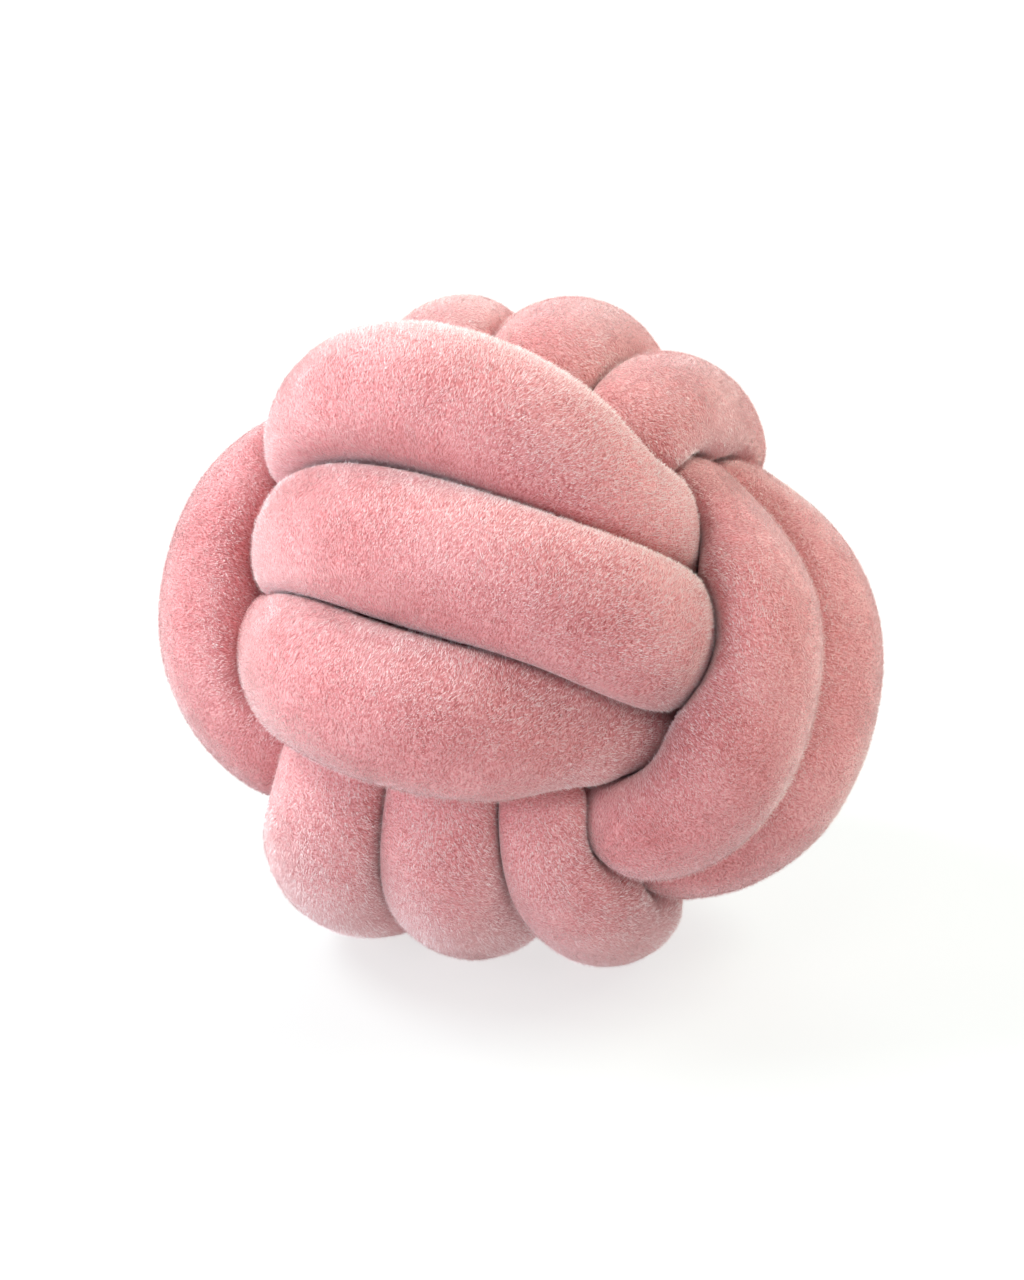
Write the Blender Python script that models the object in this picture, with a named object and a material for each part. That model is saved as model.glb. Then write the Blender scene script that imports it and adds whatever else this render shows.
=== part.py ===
"""Knot cushion: one long stuffed plush tube, tied into a ball.

The knot has three bands of three turns each, wound one inside the next: the waist goes round the
front and the back, the flank round the left and the right, and the crown over the top and the
bottom. The waist holds the crown's inner lanes, the crown holds the flank's, and the flank holds
the waist's. The tube is one closed loop, because its two ends are joined where nobody sees them.

The knot is first laid out in its own frame, with X to the right, Y to the back and Z up, in
millimetres from the middle of the ball. It is then tipped as it lies on the floor. The part's
frame is in metres: +Z up, the face with the three level strands towards -Y, and the origin on the
floor under the middle of the part.
"""

import math

import bpy
import numpy as np
from mathutils import Euler
from mathutils.bvhtree import BVHTree

MM = 0.001

# How the knot lies on the floor: tipped back, rolled and turned, in degrees
LIE_TIP = -32.0
LIE_ROLL = 3.5
LIE_TURN = -18.5
REST_DEPTH = 5.0          # how far the soft strands are pressed flat where they meet the floor

# Where the bands run: the directions of a band's long axis, short axis and stack of turns
BAND_AXES = {
    "waist": ((0, 1, 0), (1, 0, 0), (0, 0, 1)),
    "flank": ((-1, 0, 0), (0, 0, 1), (0, -1, 0)),
    "crown": ((0, 0, -1), (0, -1, 0), (1, 0, 0)),
}
BAND_ORDER = ("waist", "flank", "crown")

# Each turn crosses two faces of the ball. A row is one crossing, in the order of the tube, in mm:
# reach     how far its middle lies from the middle of the ball
# place     where its middle lies in the stack of turns
# shift     how far it sits along its own run
# half_run  half of its run, between the two strands that it dives under
# lean      how far it climbs in the stack, from its middle to its end
# radius    of the stuffed tube there
COLUMNS = ("face", "reach", "place", "shift", "half_run", "lean", "radius")
CROSSINGS = {
    "waist": (
        ("back", 110, -55, 0, 76, 0, 30),
        ("front", 107, -58, -13, 61, -8, 32),
        ("back", 112, 0, 0, 76, 0, 30),
        ("front", 114, 2, 1, 83, -9, 32),
        ("back", 110, 55, 0, 76, 0, 30),
        ("front", 111, 63, -15, 71, -11, 32),
    ),
    "flank": (
        ("left", 110, -55, 0, 76, 0, 30),
        ("right", 110, -55, 0, 76, 0, 30),
        ("left", 112, 0, 0, 76, 0, 30),
        ("right", 121, -2, -8, 73, -2, 33),
        ("left", 112, 56, -6, 71, 0, 29),
        ("right", 110, 55, -17, 67, -2, 29),
    ),
    "crown": (
        ("bottom", 107, -54, -5, 75, 0, 31),
        ("top", 109, -50, -2, 76, 2, 29),
        ("bottom", 108, -2, -4, 75, 4, 31),
        ("top", 113, 5, 0, 77, 0, 31),
        ("bottom", 101, 56, -8, 71, -3, 29),
        ("top", 97, 54, 0, 77, 0, 28),
    ),
}
SQUARENESS = 2.65         # 2 would make each turn an ellipse
LEAN_RUN = 77.0           # the distance from a crossing's middle over which its lean counts

# Between two crossings the tube runs in a lane under another band
LANE_DEPTH = 64.0         # from the middle of the ball
LANE_PITCH = 36.0         # from one lane to the next: the tubes are squeezed together there
LANE_RADIUS = 35.0
LANE_SLANT = 45.0         # half of the stretch in which a lane slants over to the next turn
LANE_BLEND = 0.8          # a crossing's own sizes are reached at this share of its reach

# At its shoulders a crossing is pressed flat and pushed out by the strand that it goes over
SHOULDER_SQUASH = 8.0
SHOULDER_AT = 0.72
SHOULDER_SPREAD = 0.3

# A band's last lane leads through the core to the next band's first lane
LANE_KEPT = 40.0          # the last lane ends, and the first one starts, this far from its middle
CORE_BENDS = ((40, 2, 32), (20, 20, 26), (0, 29, 39))    # along the short and long axis and stack

# How finely the line and the tube are made
CROSSING_STEPS = 160
BEND_STEPS = 12
LINE_STEP = 4.0
LINE_BLUR = 11.0
SECTIONS = 330
SIDES = 18

# Where strands press on each other
CONTACT_GAP = 1.2         # left between the two faces
CONTACT_SOFTNESS = 4.2    # rounds the edge of a pressed face
SAME_STRAND = 78.0        # nearer than this along the tube, it is the same strand
CONTACT_REACH = 92.0      # farther than this, strands can't touch
BEND_SHARE = 0.93         # the inner side of a bend stays inside this share of its radius
THINNEST = 4.0
NO_LIMIT = 1000.0
SOFTEN_ROUNDS = 2
CLEARANCE = 0.25          # each strand keeps at least this free around it
PULL_STEP = 0.5
PULL_ROUNDS = 40

PLUSH_COLOUR = (0.66, 0.30, 0.28, 1.0)
PLUSH_ROUGHNESS = 0.95


def ease(share):
    """Go from 0 to 1 with a soft start and end."""
    share = np.clip(share, 0.0, 1.0)
    return share * share * (3.0 - 2.0 * share)


def in_knot(band, long, short, stack):
    """Turn distances along a band's own axes into points of the knot."""
    return np.stack([long, short, stack], axis=-1) @ np.array(BAND_AXES[band], float)


def crossing_line(band, turn, half):
    """Return the points, radius and squash of the tube over one face of the ball."""
    row = dict(zip(COLUMNS, CROSSINGS[band][2 * turn + half]))
    angle = math.pi * (half + (np.arange(CROSSING_STEPS) + 0.5) / CROSSING_STEPS)
    sine, cosine = np.sin(angle), np.cos(angle)
    height = np.abs(sine)
    own = ease(height / LANE_BLEND)

    long = row["reach"] * np.sign(sine) * height ** (2.0 / SQUARENESS)
    run = LANE_DEPTH + (row["half_run"] - LANE_DEPTH) * own
    short = row["shift"] * own + run * np.sign(cosine) * np.abs(cosine) ** (2.0 / SQUARENESS)

    squash = SHOULDER_SQUASH * np.exp(-((height - SHOULDER_AT) / SHOULDER_SPREAD) ** 2)
    push = 1.0 + squash / np.hypot(long, short)
    long, short = long * push, short * push

    lane = np.full(CROSSING_STEPS, turn - 1.0)
    slant = ease((long + LANE_SLANT) / (2.0 * LANE_SLANT))
    enters = (half == 0) & (turn > 0) & (cosine > 0)
    leaves = (half == 1) & (turn < 2) & (cosine > 0)
    lane = np.where(enters, lane - 1.0 + slant, np.where(leaves, lane + slant, lane))
    stack = lane * LANE_PITCH * (1.0 - height ** 2) + row["place"] * height ** 2
    stack += row["lean"] * own * short / LEAN_RUN

    radius = LANE_RADIUS + (row["radius"] - LANE_RADIUS) * own
    points = in_knot(band, long, short, stack)
    first_end = (turn == 0) & (half == 0) & (cosine > 0) & (long < LANE_KEPT)
    last_end = (turn == 2) & (half == 1) & (cosine > 0) & (long > -LANE_KEPT)
    kept = ~(first_end | last_end)
    return points[kept], radius[kept], squash[kept]


def band_line(band):
    """Join the six crossings of a band."""
    pieces = [crossing_line(band, turn, half) for turn in range(3) for half in range(2)]
    return [np.concatenate(column) for column in zip(*pieces)]


def core_line(band, last_lane, first_lane):
    """Bend from a band's last lane through the core to the next band's first lane."""
    bends = np.array(CORE_BENDS, float)
    via = in_knot(band, bends[:, 1], bends[:, 0], bends[:, 2])
    posts = np.vstack([last_lane[-30], last_lane[-1], via, first_lane[0], first_lane[30]])
    line = []
    for before, start, end, after in zip(posts, posts[1:], posts[2:], posts[3:]):
        length = np.linalg.norm(end - start)
        leave = (end - before) / np.linalg.norm(end - before) * length
        arrive = (after - start) / np.linalg.norm(after - start) * length
        for t in np.arange(BEND_STEPS) / BEND_STEPS:
            line.append((2 * t**3 - 3 * t**2 + 1) * start + (t**3 - 2 * t**2 + t) * leave
                        + (3 * t**2 - 2 * t**3) * end + (t**3 - t**2) * arrive)
    return np.array(line[1:])


def tube_line():
    """Return the whole closed line at even steps: its points, radius, squash and step."""
    bands = {band: band_line(band) for band in BAND_ORDER}
    rows = []
    for band, following in zip(BAND_ORDER, BAND_ORDER[1:] + BAND_ORDER[:1]):
        points, radius, squash = bands[band]
        rows.append(np.column_stack([points, radius, squash]))
        core = core_line(band, points, bands[following][0])
        rows.append(np.column_stack([core, np.full(len(core), LANE_RADIUS), np.zeros(len(core))]))
    rows = np.vstack(rows)

    closed = np.vstack([rows, rows[:1]])
    along = np.concatenate([[0.0], np.cumsum(np.linalg.norm(np.diff(closed[:, :3], axis=0), axis=1))])
    count = round(along[-1] / LINE_STEP)
    step = along[-1] / count
    even = np.column_stack([np.interp(np.arange(count) * step, along, column) for column in closed.T])

    reach = int(4 * LINE_BLUR / step)
    offsets = np.arange(-reach, reach + 1)
    weights = np.exp(-0.5 * (offsets * step / LINE_BLUR) ** 2)
    weights /= weights.sum()
    smooth = sum(weight * np.roll(even, offset, axis=0) for weight, offset in zip(weights, offsets))
    return smooth[:, :3], smooth[:, 3], smooth[:, 4], step


def unit(vectors):
    return vectors / np.linalg.norm(vectors, axis=-1, keepdims=True)


def tube_sections(line, radius, squash, step):
    """Return each section's middle, its spokes and how far the skin lies out along them.

    A section starts as a circle, flatter at the shoulders. Each of its points then stays on this
    side of every other strand: two strands share the room between their lines by their radii.
    """
    count = len(line)
    forward = unit(np.roll(line, -1, axis=0) - np.roll(line, 1, axis=0))
    curving = (np.roll(forward, -1, axis=0) - np.roll(forward, 1, axis=0)) / (2.0 * step)
    around = 2.0 * math.pi * np.arange(SIDES) / SIDES
    cosines, sines = np.cos(around)[:, None], np.sin(around)[:, None]
    middles, spokes, lengths = [], [], []
    for section in range(SECTIONS):
        place = section * count / SECTIONS
        low, share = int(place), place - int(place)
        high = (low + 1) % count
        middle, ahead, bend = (values[low] * (1 - share) + values[high] * share
                               for values in (line, forward, curving))
        own_radius = radius[low] * (1 - share) + radius[high] * share
        own_squash = squash[low] * (1 - share) + squash[high] * share
        ahead = unit(ahead)
        outward = unit(middle - ahead * (middle @ ahead))
        spoke = cosines * outward + sines * np.cross(ahead, outward)
        free = 1.0 / np.hypot(cosines[:, 0] / (own_radius - own_squash), sines[:, 0] / own_radius)

        gap_along = np.abs(np.arange(count) - place) * step
        gap_along = np.minimum(gap_along, count * step - gap_along)
        offset = line - middle
        distance = np.linalg.norm(offset, axis=1)
        other = (gap_along > SAME_STRAND) & (distance < CONTACT_REACH)
        offset, distance = offset[other], distance[other]
        shared = (distance**2 + own_radius**2 - radius[other]**2) / (2 * distance) - CONTACT_GAP / 2
        facing = spoke @ (offset / distance[:, None]).T
        limit = np.where(facing > 0.05, shared / np.maximum(facing, 0.05), NO_LIMIT).min(axis=1)
        inward = np.maximum(spoke @ bend, BEND_SHARE / NO_LIMIT)
        limit = np.minimum(limit, BEND_SHARE / inward)

        mix = np.clip(0.5 + 0.5 * (limit - free) / CONTACT_SOFTNESS, 0.0, 1.0)
        length = limit * (1 - mix) + free * mix - CONTACT_SOFTNESS * mix * (1 - mix)
        middles.append(middle)
        spokes.append(spoke)
        lengths.append(np.maximum(length, THINNEST))
    return np.array(middles)[:, None], np.array(spokes), np.array(lengths)


def soften(lengths):
    """Wear down points of the skin that stand out from the points beside them."""
    for _ in range(SOFTEN_ROUNDS):
        beside = np.roll(lengths, 1, axis=1) + np.roll(lengths, -1, axis=1)
        along = np.roll(lengths, 1, axis=0) + np.roll(lengths, -1, axis=0)
        lengths = np.minimum(lengths, (2.0 * lengths + beside + along) / 6.0)
    return lengths


def skin_faces():
    """Join each ring of points to the next one with triangles."""
    faces = []
    for section in range(SECTIONS):
        this_ring = section * SIDES
        next_ring = (section + 1) % SECTIONS * SIDES
        for side in range(SIDES):
            beside = (side + 1) % SIDES
            faces.append((this_ring + side, this_ring + beside, next_ring + beside))
            faces.append((this_ring + side, next_ring + beside, next_ring + side))
    return faces


def part_strands(middles, spokes, lengths, faces):
    """Pull the skin in wherever two strands still meet, until they are a little apart."""
    pull = np.zeros(lengths.size)
    for _ in range(PULL_ROUNDS):
        pulled = np.maximum(lengths - pull.reshape(lengths.shape), THINNEST)
        points = middles + spokes * (pulled + CLEARANCE)[..., None]
        tree = BVHTree.FromPolygons(points.reshape(-1, 3).tolist(), faces, all_triangles=True)
        meeting = set()
        for one, other in tree.overlap(tree):
            if not set(faces[one]) & set(faces[other]):
                meeting.update(faces[one])
        if not meeting:
            break
        pull[sorted(meeting)] += PULL_STEP
    return middles + spokes * pulled[..., None]


def lay_down(rings):
    """Tip the knot as it lies, press its lowest strands flat and put the origin under it."""
    lie = Euler([math.radians(angle) for angle in (LIE_TIP, LIE_ROLL, LIE_TURN)], "XYZ")
    points = rings.reshape(-1, 3) @ np.array(lie.to_matrix()).T
    floor = points[:, 2].min() + REST_DEPTH
    points[:, 2] = np.maximum(points[:, 2] - floor, 0.0)
    points[:, :2] -= (points[:, :2].min(axis=0) + points[:, :2].max(axis=0)) / 2.0
    return points * MM


def plush_material():
    material = bpy.data.materials.new("pink_plush")
    material.use_nodes = True
    shader = material.node_tree.nodes["Principled BSDF"]
    shader.inputs["Base Color"].default_value = PLUSH_COLOUR
    shader.inputs["Roughness"].default_value = PLUSH_ROUGHNESS
    shader.inputs["Metallic"].default_value = 0.0
    material.diffuse_color = PLUSH_COLOUR
    return material


def knotted_tube():
    """Make the tube's closed skin."""
    middles, spokes, lengths = tube_sections(*tube_line())
    faces = skin_faces()
    points = lay_down(part_strands(middles, spokes, soften(lengths), faces))
    mesh = bpy.data.meshes.new("knotted_tube")
    mesh.from_pydata(points.tolist(), [], faces)
    mesh.validate()
    mesh.materials.append(plush_material())
    mesh.shade_smooth()
    tube = bpy.data.objects.new("knotted_tube", mesh)
    bpy.context.scene.collection.objects.link(tube)
    return tube


def main():
    for item in list(bpy.data.objects):
        bpy.data.objects.remove(item)
    knotted_tube()


main()
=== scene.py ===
# %% [markdown]
# # A knot cushion in plush
# This cushion is one long tube of short-pile plush, stuffed with soft filling and tied into a
# ball. The ball is a sailor's knot with three bands of three turns each. The first band goes round
# the waist, the second round the flanks, and the third over the crown. Each band passes under the
# next one, so that no end of the tube is ever seen.
#
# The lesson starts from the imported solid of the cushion. That solid is the frame: it says how
# large the cushion is and where it rests. The plush that is seen is made again around the same
# line, with many more points, so that it is round where the filling pushes out and creased where
# two strands meet.

# %% Load the frame
import math

import bpy
import numpy as np
from mathutils import Euler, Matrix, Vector, noise
from mathutils.bvhtree import BVHTree


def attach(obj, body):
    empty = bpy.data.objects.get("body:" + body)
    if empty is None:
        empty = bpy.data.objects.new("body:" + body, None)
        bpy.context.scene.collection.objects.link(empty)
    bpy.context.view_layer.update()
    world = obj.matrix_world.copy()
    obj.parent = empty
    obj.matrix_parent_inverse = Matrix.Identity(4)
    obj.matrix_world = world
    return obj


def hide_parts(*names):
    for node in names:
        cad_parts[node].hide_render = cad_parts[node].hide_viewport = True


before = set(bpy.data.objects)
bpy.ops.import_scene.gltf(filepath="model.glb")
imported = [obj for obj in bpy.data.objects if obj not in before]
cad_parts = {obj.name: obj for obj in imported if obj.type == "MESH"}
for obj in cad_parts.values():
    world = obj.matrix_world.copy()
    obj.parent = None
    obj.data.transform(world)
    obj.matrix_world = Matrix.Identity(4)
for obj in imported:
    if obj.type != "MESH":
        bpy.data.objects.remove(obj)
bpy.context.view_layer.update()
MM = 0.001

# %% [markdown]
# ## The line of the tube
# A knot like this is easiest to write down in its own frame, before it is tipped over: X runs to
# the right, Y to the back and Z up, in millimetres from the middle of the ball. Each band is a
# stack of three flattened loops. A band has a long axis, along which its loops bulge out over the
# other bands, and a short axis, along which it is held under the next band.
#
# Each row of the table below is one crossing of one face of the ball, in the order in which the
# tube runs. The sizes follow the solid, so the plush lies where the solid lies.

# %% The three bands and their crossings
BAND_AXES = {
    "waist": ((0, 1, 0), (1, 0, 0), (0, 0, 1)),
    "flank": ((-1, 0, 0), (0, 0, 1), (0, -1, 0)),
    "crown": ((0, 0, -1), (0, -1, 0), (1, 0, 0)),
}
BAND_ORDER = ("waist", "flank", "crown")

COLUMNS = ("face", "reach", "place", "shift", "half_run", "lean", "radius")
CROSSINGS = {
    "waist": (
        ("back", 110, -55, 0, 76, 0, 30),
        ("front", 107, -58, -13, 61, -8, 32),
        ("back", 112, 0, 0, 76, 0, 30),
        ("front", 114, 2, 1, 83, -9, 32),
        ("back", 110, 55, 0, 76, 0, 30),
        ("front", 111, 63, -15, 71, -11, 32),
    ),
    "flank": (
        ("left", 110, -55, 0, 76, 0, 30),
        ("right", 110, -55, 0, 76, 0, 30),
        ("left", 112, 0, 0, 76, 0, 30),
        ("right", 121, -2, -8, 73, -2, 33),
        ("left", 112, 56, -6, 71, 0, 29),
        ("right", 110, 55, -17, 67, -2, 29),
    ),
    "crown": (
        ("bottom", 107, -54, -5, 75, 0, 31),
        ("top", 109, -50, -2, 76, 2, 29),
        ("bottom", 108, -2, -4, 75, 4, 31),
        ("top", 113, 5, 0, 77, 0, 31),
        ("bottom", 101, 56, -8, 71, -3, 29),
        ("top", 97, 54, 0, 77, 0, 28),
    ),
}
print("the tube crosses", sum(len(rows) for rows in CROSSINGS.values()), "faces")

# %% [markdown]
# A loop is a rounded box rather than an ellipse, which is how a thick tube wraps round others.
# Under the next band the loops lie deeper and closer together, in lanes, and there the tube slants
# from one turn to the next. Where a strand goes over its neighbour's shoulder it is pressed flat
# and pushed outwards.

# %% One crossing of the tube
SQUARENESS = 2.65    # 2 would make the loops ellipses
LEAN_RUN = 77.0    # a strand rises by its lean over this run
LANE_DEPTH, LANE_PITCH, LANE_RADIUS = 64.0, 36.0, 35.0
LANE_SLANT, LANE_BLEND = 45.0, 0.8    # half the length of the slant; height where a face begins
LANE_KEPT = 40.0    # the first and the last lane stop this far short, and bend into the core
SHOULDER_SQUASH, SHOULDER_AT, SHOULDER_SPREAD = 8.0, 0.72, 0.3
CROSSING_STEPS = 160


def ease(share):
    """Go from 0 to 1 with a soft start and end."""
    share = np.clip(share, 0.0, 1.0)
    return share * share * (3.0 - 2.0 * share)


def in_knot(band, long, short, stack):
    """Turn distances along a band's own axes into points of the knot."""
    return np.stack([long, short, stack], axis=-1) @ np.array(BAND_AXES[band], float)


def crossing_line(band, turn, half):
    """Return points, radius and squash of the tube over one face of the ball.

    height is 0 in the lane under the next band, and 1 in the middle of the face.
    """
    row = dict(zip(COLUMNS, CROSSINGS[band][2 * turn + half]))
    angle = math.pi * (half + (np.arange(CROSSING_STEPS) + 0.5) / CROSSING_STEPS)
    sine, cosine = np.sin(angle), np.cos(angle)
    height = np.abs(sine)
    own = ease(height / LANE_BLEND)
    long = row["reach"] * np.sign(sine) * height ** (2.0 / SQUARENESS)
    run = LANE_DEPTH + (row["half_run"] - LANE_DEPTH) * own
    short = row["shift"] * own + run * np.sign(cosine) * np.abs(cosine) ** (2.0 / SQUARENESS)
    squash = SHOULDER_SQUASH * np.exp(-((height - SHOULDER_AT) / SHOULDER_SPREAD) ** 2)
    push = 1.0 + squash / np.hypot(long, short)
    long, short = long * push, short * push

    slant = ease((long + LANE_SLANT) / (2.0 * LANE_SLANT))
    enters = (half == 0) & (turn > 0) & (cosine > 0)
    leaves = (half == 1) & (turn < 2) & (cosine > 0)
    lane = turn - 1.0 + np.where(enters, slant - 1.0, np.where(leaves, slant, 0.0))
    stack = lane * LANE_PITCH * (1.0 - height ** 2) + row["place"] * height ** 2
    stack += row["lean"] * own * short / LEAN_RUN

    radius = LANE_RADIUS + (row["radius"] - LANE_RADIUS) * own
    first_end = (turn == 0) & (half == 0) & (cosine > 0) & (long < LANE_KEPT)
    last_end = (turn == 2) & (half == 1) & (cosine > 0) & (long > -LANE_KEPT)
    kept = ~(first_end | last_end)
    return np.column_stack([in_knot(band, long, short, stack), radius, squash])[kept]


example = crossing_line("waist", turn=1, half=1)
farthest = np.linalg.norm(example[:, :3], axis=1).max()
print("the middle level strand bulges out to", round(farthest), "mm from the middle of the ball")

# %% [markdown]
# From the last lane of one band the tube bends through the middle of the ball into the first lane
# of the next band. After the third band it bends back into the first one, where the two ends of
# the tube are sewn together. The whole line is then read at even steps and smoothed a little, as a
# stuffed tube has no sharp bends.

# %% The whole closed line
CORE_BENDS = ((40, 2, 32), (20, 20, 26), (0, 29, 39))    # along the short and long axis and stack
LANE_POST = 30    # steps from a lane's end, where its direction is read
BEND_STEPS = 12
LINE_STEP, LINE_BLUR, BLUR_REACH = 4.0, 11.0, 4    # the reach is counted in blurs


def core_line(band, last_lane, first_lane):
    """Bend from a band's last lane through the core to the next band's first lane."""
    bends = np.array(CORE_BENDS, float)
    via = in_knot(band, bends[:, 1], bends[:, 0], bends[:, 2])
    posts = np.vstack([last_lane[-LANE_POST], last_lane[-1], via,
                       first_lane[0], first_lane[LANE_POST]])
    line = []
    for before, start, end, after in zip(posts, posts[1:], posts[2:], posts[3:]):
        length = np.linalg.norm(end - start)
        leave = (end - before) / np.linalg.norm(end - before) * length
        arrive = (after - start) / np.linalg.norm(after - start) * length
        for t in np.arange(BEND_STEPS) / BEND_STEPS:
            line.append((2 * t**3 - 3 * t**2 + 1) * start + (t**3 - 2 * t**2 + t) * leave
                        + (3 * t**2 - 2 * t**3) * end + (t**3 - t**2) * arrive)
    return np.array(line[1:])


bands = {band: np.vstack([crossing_line(band, turn, half)
                          for turn in range(3) for half in range(2)])
         for band in BAND_ORDER}
rows = []
for band, following in zip(BAND_ORDER, BAND_ORDER[1:] + BAND_ORDER[:1]):
    core = core_line(band, bands[band][:, :3], bands[following][:, :3])
    in_lane, unpressed = np.full(len(core), LANE_RADIUS), np.zeros(len(core))
    rows += [bands[band], np.column_stack([core, in_lane, unpressed])]
rows = np.vstack(rows)

closed = np.vstack([rows, rows[:1]])
steps = np.linalg.norm(np.diff(closed[:, :3], axis=0), axis=1)
along = np.concatenate([[0.0], np.cumsum(steps)])
line_count = round(along[-1] / LINE_STEP)
line_step = along[-1] / line_count
even = np.column_stack([np.interp(np.arange(line_count) * line_step, along, column)
                        for column in closed.T])
blur_steps = int(BLUR_REACH * LINE_BLUR / line_step)
offsets = np.arange(-blur_steps, blur_steps + 1)
weights = np.exp(-0.5 * (offsets * line_step / LINE_BLUR) ** 2)
smooth = sum(weight * np.roll(even, offset, axis=0)
             for weight, offset in zip(weights, offsets))
smooth /= weights.sum()
line, line_radius, line_squash = smooth[:, :3], smooth[:, 3], smooth[:, 4]
print("the tube is", round(line_count * line_step / 1000, 2), "m long")

# %% [markdown]
# ## The stuffed skin
# Two stuffed strands that press on each other share the room between them, and the fabric of both
# lies flat where they touch. That can be worked out without a simulation. Each point of the skin
# is looked at along its own spoke from the tube's line: it stops where it would come nearer to
# another strand than to its own. The usual way to a stuffed piece is a cloth simulation. It wasn't
# tried here, because each strand of this knot presses on several others, and the rule gives the
# creases directly. The rule isn't perfect: deep in the creases, out of sight, a few faces of two
# strands still cross, by about a millimetre at most.
#
# The fabric's own direction is kept in a UV map, so that the pile can run along with the tube. A
# second map, named OFBake, lays the tube out in six rows. The map is named so that an export bakes
# the finish onto it too.

# %% Cut the tube into sections
SECTIONS, SIDES = 1400, 70


def unit(vectors):
    """Scale vectors to a length of 1."""
    return vectors / np.linalg.norm(vectors, axis=-1, keepdims=True)


def at_sections(values):
    """Read values along the line at each section."""
    place = np.arange(SECTIONS) * line_count / SECTIONS
    low = place.astype(int)
    share = (place - low).reshape(-1, *[1] * (values.ndim - 1))
    return values[low] * (1 - share) + values[(low + 1) % line_count] * share


forward = unit(np.roll(line, -1, axis=0) - np.roll(line, 1, axis=0))
curving = (np.roll(forward, -1, axis=0) - np.roll(forward, 1, axis=0)) / (2.0 * line_step)
middles, ahead, bends = at_sections(line), unit(at_sections(forward)), at_sections(curving)
own_radius, own_squash = at_sections(line_radius), at_sections(line_squash)

around = 2.0 * math.pi * np.arange(SIDES) / SIDES
cosines, sines = np.cos(around)[:, None], np.sin(around)[:, None]
outward = unit(middles - ahead * np.sum(middles * ahead, axis=1, keepdims=True))
spokes = cosines * outward[:, None] + sines * np.cross(ahead, outward)[:, None]
print("the skin has", SECTIONS * SIDES, "points")

# %% Let the strands press on each other
CONTACT_GAP, CONTACT_SOFTNESS = 0.6, 4.2
SAME_STRAND, CONTACT_REACH = 78.0, 92.0    # nearer along the tube isn't another strand
LEAST_FACING = 0.05
BEND_SHARE = 0.93    # on the inside of a bend the skin stays short of the bend's middle
THINNEST, NO_LIMIT = 4.0, 1000.0

free = 1.0 / np.hypot(cosines[:, 0] / (own_radius - own_squash)[:, None],
                      sines[:, 0] / own_radius[:, None])
contact = np.full((SECTIONS, SIDES), NO_LIMIT)
for section in range(SECTIONS):
    gap_along = np.abs(np.arange(line_count) - section * line_count / SECTIONS) * line_step
    gap_along = np.minimum(gap_along, line_count * line_step - gap_along)
    offset = line - middles[section]
    distance = np.linalg.norm(offset, axis=1)
    other = (gap_along > SAME_STRAND) & (distance < CONTACT_REACH)
    offset, distance = offset[other], distance[other]
    shared = distance**2 + own_radius[section] ** 2 - line_radius[other] ** 2
    shared = shared / (2 * distance) - CONTACT_GAP / 2
    facing = spokes[section] @ (offset / distance[:, None]).T
    stops = np.where(facing > LEAST_FACING, shared / np.maximum(facing, LEAST_FACING), NO_LIMIT)
    contact[section] = stops.min(axis=1)
inward = np.maximum(np.einsum("ijk,ik->ij", spokes, bends), BEND_SHARE / NO_LIMIT)
limit = np.minimum(contact, BEND_SHARE / inward)
freedom = np.clip(0.5 + 0.5 * (limit - free) / CONTACT_SOFTNESS, 0.0, 1.0)
lengths = limit * (1 - freedom) + free * freedom - CONTACT_SOFTNESS * freedom * (1 - freedom)
lengths = np.maximum(lengths, THINNEST)
print("pressed points:", int((contact < free).sum()))

# %% Wear down points that stand out
WEAR_ROUNDS = 6

pressed = lengths
for _ in range(WEAR_ROUNDS):
    beside = np.roll(lengths, 1, axis=1) + np.roll(lengths, -1, axis=1)
    along_it = np.roll(lengths, 1, axis=0) + np.roll(lengths, -1, axis=0)
    lengths = np.minimum(lengths, (2.0 * lengths + beside + along_it) / 6.0)
print("the highest ridge lost", round(float((pressed - lengths).max()), 1), "mm")

# %% [markdown]
# ## Lay the cushion down
# The cushion lies as in the photograph: tipped back, a little rolled and turned. Its lowest
# strands are pressed flat on the floor, and the middle of its outline comes over the origin.

# %% Tip the knot and rest it
LIE_TIP, LIE_ROLL, LIE_TURN = -32.0, 3.5, -18.5
REST_DEPTH = 5.0

lie = np.array(Euler([math.radians(a) for a in (LIE_TIP, LIE_ROLL, LIE_TURN)], "XYZ").to_matrix())
points = (middles[:, None] + spokes * lengths[..., None]).reshape(-1, 3) @ lie.T
knot_middle = np.array([0.0, 0.0, -points[:, 2].min() - REST_DEPTH])
knot_middle[:2] = -(points[:, :2].min(axis=0) + points[:, :2].max(axis=0)) / 2.0
points += knot_middle
points[:, 2] = np.maximum(points[:, 2], 0.0)
print("the middle of the knot lies at", knot_middle.round(1), "mm")

# %% Make the mesh and its maps
MAP_ROWS, MAP_MARGIN, ROW_MARGIN = 6, 0.01, 0.03
NAP_RADIUS = 30.0

section_id, side_id = np.meshgrid(np.arange(SECTIONS), np.arange(SIDES), indexing="ij")
next_section, next_side = (section_id + 1) % SECTIONS, (side_id + 1) % SIDES
faces = np.stack([section_id * SIDES + side_id, section_id * SIDES + next_side,
                  next_section * SIDES + next_side, next_section * SIDES + side_id], axis=-1)
plush_mesh = bpy.data.meshes.new("plush_tube")
plush_mesh.from_pydata((points * MM).tolist(), [], faces.reshape(-1, 4).tolist())
plush_mesh.shade_smooth()

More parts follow.
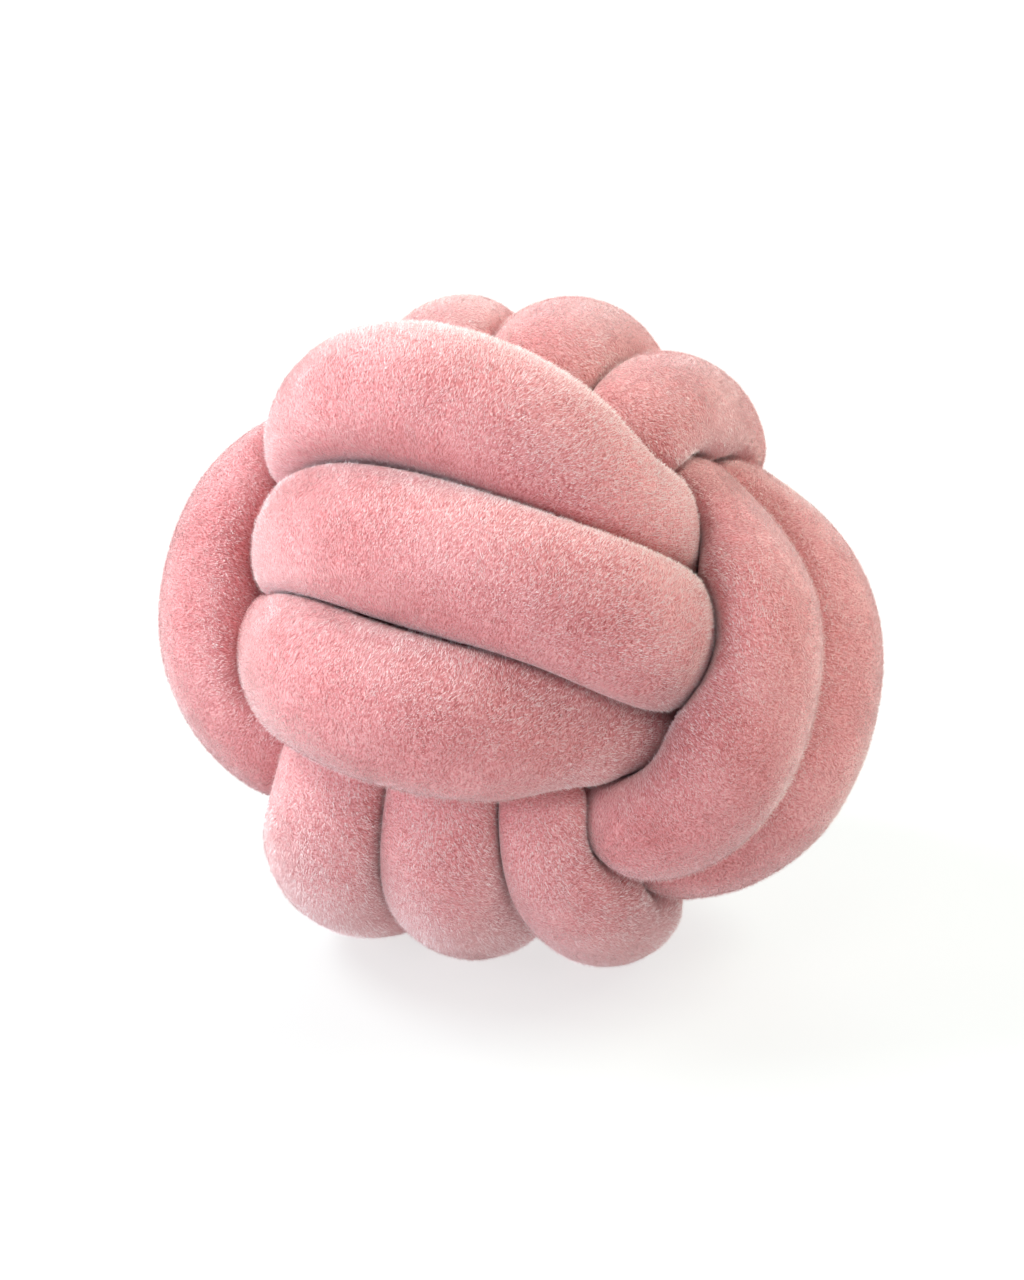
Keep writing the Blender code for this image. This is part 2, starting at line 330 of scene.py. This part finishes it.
half_way = SIDES // 2
corner_section = np.stack([section_id, section_id, section_id + 1, section_id + 1], axis=-1)
corner_side = np.stack([side_id, side_id + 1, side_id + 1, side_id], axis=-1)
turned_side = np.where(side_id[..., None] >= half_way, corner_side - SIDES, corner_side)
tube_length = line_count * line_step
nap_map = np.stack([turned_side * (2 * math.pi * NAP_RADIUS / SIDES),
                    corner_section * (tube_length / SECTIONS)], axis=-1) * MM
row_sections = SECTIONS / MAP_ROWS
map_row = np.floor((section_id[..., None] + 0.5) / row_sections)
row_along = (corner_section - map_row * row_sections) / row_sections
row_across = turned_side / SIDES + 0.5
row_place = map_row + ROW_MARGIN + (1 - 2 * ROW_MARGIN) * row_across
bake_map = np.stack([row_along * (1 - 2 * MAP_MARGIN) + MAP_MARGIN, row_place / MAP_ROWS], axis=-1)
for name, values in (("OFBake", bake_map), ("nap", nap_map)):
    layer = plush_mesh.uv_layers.new(name=name)
    layer.uv.foreach_set("vector", values.astype(np.float32).ravel())
plush = bpy.data.objects.new("plush_tube", plush_mesh)
bpy.context.scene.collection.objects.link(plush)
print("the plush tube has", len(plush_mesh.polygons), "faces")

# %% [markdown]
# ## The plush
# Short plush has a pile of fine fibres that lean over in small wavy strokes. Their pale tips catch
# the light, and the gaps between them are deep rose. Seen edge on, the pile looks nearly white,
# which is what the sheen of the shader is for. The strokes are a stretched noise on the nap map,
# bent by a second, wider noise.

# %% The plush finish
PILE_DEEP = (0.40, 0.09, 0.09, 1.0)
PILE_BODY = (0.66, 0.25, 0.26, 1.0)
PILE_TIPS = (0.84, 0.48, 0.49, 1.0)
TONE_STOPS = (0.42, 0.66, 0.95)
BEND_SCALE, BEND_SHIFT = 90.0, 0.006
STROKE_SCALE, STROKE_LEAN, STROKE_STRETCH = 1500.0, 35.0, (0.4, 1.3, 1.0)
CLOUD_SCALE, CLOUD_SHARE = 30.0, 0.35
RELIEF_STRENGTH, RELIEF_DEPTH = 0.7, 0.0012


def add_node(tree, kind, **values):
    """Add a node and set its properties and input values by name."""
    node = tree.nodes.new(kind)
    for name, value in values.items():
        if hasattr(node, name):
            setattr(node, name, value)
        else:
            node.inputs[name.replace("_", " ").title()].default_value = value
    return node


def plush_finish(name):
    """Make the plush: strokes on the nap map, clouds of colour, and relief."""
    material = bpy.data.materials.new(name)
    material.use_nodes = True
    tree = material.node_tree
    link = tree.links.new
    shader = tree.nodes["Principled BSDF"]
    shader.inputs["Roughness"].default_value = 0.9
    shader.inputs["Specular IOR Level"].default_value = 0.1
    shader.inputs["Sheen Weight"].default_value = 1.0
    shader.inputs["Sheen Roughness"].default_value = 0.35
    shader.inputs["Sheen Tint"].default_value = (1.0, 0.94, 0.94, 1.0)

    nap = add_node(tree, "ShaderNodeUVMap", uv_map="nap")
    bend = add_node(tree, "ShaderNodeTexNoise", scale=BEND_SCALE, detail=1.0)
    link(nap.outputs["UV"], bend.inputs["Vector"])
    centred = add_node(tree, "ShaderNodeVectorMath", operation="SUBTRACT")
    link(bend.outputs["Color"], centred.inputs[0])
    centred.inputs[1].default_value = (0.5, 0.5, 0.5)
    bent = add_node(tree, "ShaderNodeVectorMath", operation="MULTIPLY_ADD")
    link(centred.outputs["Vector"], bent.inputs[0])
    bent.inputs[1].default_value = (BEND_SHIFT, BEND_SHIFT, BEND_SHIFT)
    link(nap.outputs["UV"], bent.inputs[2])
    lean = add_node(tree, "ShaderNodeMapping")
    lean.inputs["Rotation"].default_value = (0, 0, math.radians(STROKE_LEAN))
    lean.inputs["Scale"].default_value = STROKE_STRETCH
    link(bent.outputs["Vector"], lean.inputs["Vector"])
    strokes = add_node(tree, "ShaderNodeTexNoise", scale=STROKE_SCALE, detail=2.0, roughness=0.6)
    link(lean.outputs["Vector"], strokes.inputs["Vector"])

    place = add_node(tree, "ShaderNodeTexCoord")
    clouds = add_node(tree, "ShaderNodeTexNoise", scale=CLOUD_SCALE, detail=3.0)
    link(place.outputs["Object"], clouds.inputs["Vector"])
    together = add_node(tree, "ShaderNodeMath", operation="MULTIPLY_ADD")
    link(clouds.outputs["Fac"], together.inputs[0])
    together.inputs[1].default_value = CLOUD_SHARE
    link(strokes.outputs["Fac"], together.inputs[2])
    tones = add_node(tree, "ShaderNodeValToRGB")
    tones.color_ramp.elements[0].position = TONE_STOPS[0]
    tones.color_ramp.elements[0].color = PILE_DEEP
    tones.color_ramp.elements[1].position = TONE_STOPS[2]
    tones.color_ramp.elements[1].color = PILE_TIPS
    tones.color_ramp.elements.new(TONE_STOPS[1]).color = PILE_BODY
    link(together.outputs["Value"], tones.inputs["Fac"])
    link(tones.outputs["Color"], shader.inputs["Base Color"])

    relief = add_node(tree, "ShaderNodeBump")
    relief.inputs["Strength"].default_value = RELIEF_STRENGTH
    relief.inputs["Distance"].default_value = RELIEF_DEPTH
    link(strokes.outputs["Fac"], relief.inputs["Height"])
    link(relief.outputs["Normal"], shader.inputs["Normal"])
    return material


plush_mesh.materials.append(plush_finish("rose_plush"))
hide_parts("knotted_tube")
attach(plush, "root")
print("the plush finish has", len(plush_mesh.materials[0].node_tree.nodes), "nodes")

# %% [markdown]
# ## The pile
# Short plush is a dense field of fibres, one to two millimetres long, that lean over. It could be
# a bump in the finish alone, but then the edge of the cushion would stay as hard as plaster. Here
# each fibre is a blade of one triangle, planted on the skin. Head on, one looks between the pale
# tips into the deep rose below. Along the edges the tips close up, and their pale colour, which is
# painted sheen, makes the plush gleam there. Hundreds of thousands of blades are more than
# operators can place, so they are written straight into a mesh.
# Much of the tube is hidden inside the knot, where fibres would be wasted. So each point of the
# skin first looks out in some directions, and only skin that sees daylight gets pile.

# %% Find the skin that is seen
LOOK_FROM, LOOK_REACH = 0.0004, 0.35
LOOK_SLANT = 0.2
LOOK_OUT = [Vector((x, y, z)).normalized() for x in (-1, 0, 1) for y in (-1, 0, 1)
            for z in (-1, 0, 1) if (x, y, z) != (0, 0, 0)]

skin = BVHTree.FromPolygons((points * MM).tolist(), faces.reshape(-1, 4).tolist())
skin_normals = np.empty(len(points) * 3, np.float32)
plush_mesh.vertex_normals.foreach_get("vector", skin_normals)
skin_normals = skin_normals.reshape(-1, 3)


def sees_daylight(point, normal):
    """True if a straight look out of the knot is free."""
    for way in [normal] + LOOK_OUT:
        if way.dot(normal) > LOOK_SLANT:
            if skin.ray_cast(point + normal * LOOK_FROM, way, LOOK_REACH)[0] is None:
                return True
    return False


seen = np.array([sees_daylight(Vector(point), Vector(normal))
                 for point, normal in zip(points * MM, skin_normals)])
quads = faces.reshape(-1, 4)
corners = points[quads] * MM
quad_area = np.linalg.norm(np.cross(corners[:, 2] - corners[:, 0],
                                    corners[:, 3] - corners[:, 1]), axis=1) / 2
seen_area = quad_area * seen[quads].any(axis=1)
# 1 on open skin, 0 in a crease: the mask that paints shade into the creases
crease_shade_mask = freedom.ravel()[quads].mean(axis=1)
print("pile covers", round(float(seen_area.sum()), 3), "square metres")

# %% [markdown]
# The pile lies across the tube at a slant, and hands have brushed it this way and that: a slow and
# a quick noise turn the fibres. They are planted in four shades. The pale ones are the longest and
# stand up most, so they show along the edges, while the deep ones are broad and lie nearly flat.
# The pale colour of the upright fibres is painted sheen: it whitens the plush along its edges.
# Pale fibres are kept out of the creases, and that paints shade into them: there the pile is deep
# rose.

# %% Plant one shade of fibres
FIBRES = 190_000
PILE_SLANT = 60.0
SLOW_BRUSH, QUICK_BRUSH = (0.03, 1.2), (0.25, 0.7)    # waves for each mm, turn in radians
STRAY_TURN, STRAY_RISE = 0.30, 0.12
LENGTH_SPREAD = (0.6, 1.25)
SUNK = 0.0002

rng = np.random.default_rng(5)
tube_way = ahead @ lie.T
brush = np.array([sum(turn * noise.noise(Vector(point) * waves)
                      for waves, turn in (SLOW_BRUSH, QUICK_BRUSH)) for point in points])
print("the brush turns the pile by up to", round(math.degrees(np.abs(brush).max())), "degrees")


def fibre_finish(name, colour):
    """Make the finish of one shade: its colour with a soft gleam."""
    material = bpy.data.materials.new(name)
    material.use_nodes = True
    shader = material.node_tree.nodes["Principled BSDF"]
    shader.inputs["Base Color"].default_value = (*colour, 1.0)
    shader.inputs["Roughness"].default_value = 0.8
    shader.inputs["Specular IOR Level"].default_value = 0.0
    shader.inputs["Sheen Weight"].default_value = 1.0
    shader.inputs["Sheen Roughness"].default_value = 0.4
    return material


def plant(name, colour, length, width, rise, crease_shade_power):
    """Plant one shade of fibres on seen skin; keeping pale ones out of creases paints shade there.
    """
    # fewer pale fibres in the creases paints shade there
    cover = seen_area * crease_shade_mask ** crease_shade_power
    chosen = rng.choice(len(quads), FIBRES, p=cover / cover.sum())
    across, up = rng.random((2, FIBRES, 1))
    share = np.stack([(1 - across) * (1 - up), across * (1 - up), across * up,
                      (1 - across) * up], axis=1)
    root = (corners[chosen] * share).sum(axis=1)
    normal = unit((skin_normals[quads[chosen]] * share).sum(axis=1))
    forth = tube_way[chosen // SIDES]
    forth = unit(forth - normal * np.sum(forth * normal, axis=1, keepdims=True))
    turn = math.radians(PILE_SLANT) + brush[quads[chosen, 0]] + rng.normal(0, STRAY_TURN, FIBRES)
    flow = np.cos(turn)[:, None] * forth + np.sin(turn)[:, None] * np.cross(normal, forth)
    heading = unit(flow + normal * (rise + rng.normal(0, STRAY_RISE, (FIBRES, 1))))
    tip = root + heading * (length * rng.uniform(*LENGTH_SPREAD, (FIBRES, 1)))
    root = root - normal * SUNK
    half = unit(np.cross(heading, normal)) * width / 2
    blades = np.stack([root - half, root + half, tip], axis=1).reshape(-1, 3)
    blades[:, 2] = np.maximum(blades[:, 2], SUNK / 2)
    mesh = bpy.data.meshes.new(name)
    mesh.from_pydata(blades.tolist(), [], np.arange(FIBRES * 3).reshape(-1, 3).tolist())
    mesh.materials.append(fibre_finish(name, colour))
    pile = bpy.data.objects.new(name, mesh)
    bpy.context.scene.collection.objects.link(pile)
    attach(pile, "root")


# %% Plant the four shades
SHADES = {    # colour, then length and width in metres, then rise and crease shade power
    # the pale colour of these upright fibres is painted sheen along the edges
    "pile_pale_sheen": ((0.90, 0.83, 0.83), 0.0018, 0.00021, 1.20, 1.0),
    "pile_light": ((0.78, 0.57, 0.57), 0.0016, 0.00026, 0.65, 0.5),
    "pile_rose": ((0.66, 0.32, 0.315), 0.0015, 0.00032, 0.30, 0.0),
    "pile_deep": ((0.52, 0.17, 0.165), 0.0015, 0.00036, 0.15, 0.0),
}
for shade, values in SHADES.items():
    plant(shade, *values)
print("planted", FIBRES * len(SHADES), "fibres")

# %% [markdown]
# ## The studio
# The photograph shows the cushion on a white sweep with only a faint shadow. A white floor that is
# lit by lamps alone turns grey where the light falls off, so this floor also glows a little. It is
# wide enough to fill the picture from every side. A glowing wall far behind the cushion gives its
# upper edges the pale outline that they have in the photograph.

# %% The floor and the wall
def stage_plane(name, size, place, turn, shade, glow):
    """Add a matt plane that glows."""
    bpy.ops.object.select_all(action="DESELECT")
    bpy.ops.mesh.primitive_plane_add(size=size, location=place, rotation=turn)
    plane = bpy.context.object
    plane.name = name
    finish = bpy.data.materials.new(name + "_white")
    finish.use_nodes = True
    shader = finish.node_tree.nodes["Principled BSDF"]
    shader.inputs["Base Color"].default_value = (shade, shade, shade, 1.0)
    shader.inputs["Roughness"].default_value = 0.9
    shader.inputs["Specular IOR Level"].default_value = 0.0
    shader.inputs["Emission Color"].default_value = (1.0, 1.0, 1.0, 1.0)
    shader.inputs["Emission Strength"].default_value = glow
    plane.data.materials.append(finish)


UPRIGHT = (math.pi / 2, 0.0, 0.0)
stage_plane("studio_floor", 60.0, (0.0, 0.0, 0.0), (0.0, 0.0, 0.0), shade=0.2, glow=0.7)
stage_plane("studio_wall", 8.0, (0.0, 3.2, 3.98), UPRIGHT, shade=0.0, glow=0.8)
print("the floor and the wall stand")

# %% [markdown]
# The light is soft and comes mostly from above and from the sides, hardly from the front. That is
# what makes each strand round to the eye: bright and a little cool where it faces left, warm where
# it faces right, and deep rose where it turns down. Disks of light stand in for a photographer's
# softboxes.

# %% The lights
LIGHTS = {    # place, size in metres, power in watts, colour
    "top_left_softbox": ((-1.6, 0.2, 1.8), 1.2, 64.0, (0.88, 1.0, 1.0)),
    "left_softbox": ((-2.3, -0.1, 0.7), 1.2, 30.0, (0.78, 0.96, 1.0)),
    "left_front_softbox": ((-1.7, -1.5, 0.8), 1.0, 16.0, (0.96, 0.86, 1.0)),
    "top_right_softbox": ((1.6, 0.2, 1.8), 1.2, 41.0, (0.92, 1.0, 0.83)),
    "right_front_softbox": ((1.8, -1.2, 0.7), 1.0, 5.0, (1.0, 0.96, 0.80)),
    "right_back_softbox": ((1.8, 1.5, 0.7), 1.2, 36.0, (0.78, 1.0, 0.88)),
    "back_softbox": ((0.0, 2.4, 0.9), 1.4, 46.0, (0.74, 1.0, 1.0)),
    "top_front_softbox": ((0.0, -1.4, 2.0), 1.2, 10.0, (1.0, 0.80, 0.72)),
    "low_front_softbox": ((-0.3, -2.4, 0.35), 1.0, 8.0, (1.0, 0.94, 1.0)),
}
LIGHT_AIM = Vector((0.0, 0.0, 0.13))
AIR_COLOUR, AIR_GLOW = (1.0, 0.98, 0.98, 1.0), 0.1

for name, (place, size, power, colour) in LIGHTS.items():
    lamp = bpy.data.lights.new(name, "AREA")
    lamp.shape, lamp.size, lamp.energy, lamp.color = "DISK", size, power, colour
    holder = bpy.data.objects.new(name, lamp)
    holder.location = place
    holder.rotation_euler = (LIGHT_AIM - Vector(place)).to_track_quat("-Z", "Y").to_euler()
    holder.visible_camera = False
    bpy.context.scene.collection.objects.link(holder)

world = bpy.data.worlds.new("studio_air")
world.use_nodes = True
world.node_tree.nodes["Background"].inputs["Color"].default_value = AIR_COLOUR
world.node_tree.nodes["Background"].inputs["Strength"].default_value = AIR_GLOW
bpy.context.scene.world = world
bpy.context.scene.view_settings.view_transform = "Standard"
print("lights:", ", ".join(LIGHTS))

# %% [markdown]
# ## The camera
# The camera stands a metre and a half away and looks down at 20 degrees. In the photograph the
# middle of the knot lies a little to the right of the middle of the picture and just above it, so
# the lens is shifted by that much.

# %% The photograph's view
VIEW_DISTANCE, VIEW_ELEVATION = 1.5, 20.0
PICTURE = (1024, 1280)
FOCAL_PIXELS = 3550.0
MIDDLE_IN_PICTURE = (524, 634)
SENSOR = 36.0

elevation = math.radians(VIEW_ELEVATION)
lens = bpy.data.cameras.new("view")
lens.sensor_fit, lens.sensor_height = "VERTICAL", SENSOR
lens.lens = FOCAL_PIXELS / PICTURE[1] * SENSOR
lens.shift_x = -(MIDDLE_IN_PICTURE[0] - PICTURE[0] / 2) / PICTURE[1]
lens.shift_y = (MIDDLE_IN_PICTURE[1] - PICTURE[1] / 2) / PICTURE[1]
camera = bpy.data.objects.new("view", lens)
camera.location = Vector(knot_middle * MM) + VIEW_DISTANCE * Vector(
    (0.0, -math.cos(elevation), math.sin(elevation)))
camera.rotation_euler = (math.pi / 2 - elevation, 0.0, 0.0)
bpy.context.scene.collection.objects.link(camera)
bpy.context.scene.camera = camera
print("lens", round(lens.lens, 1), "mm")
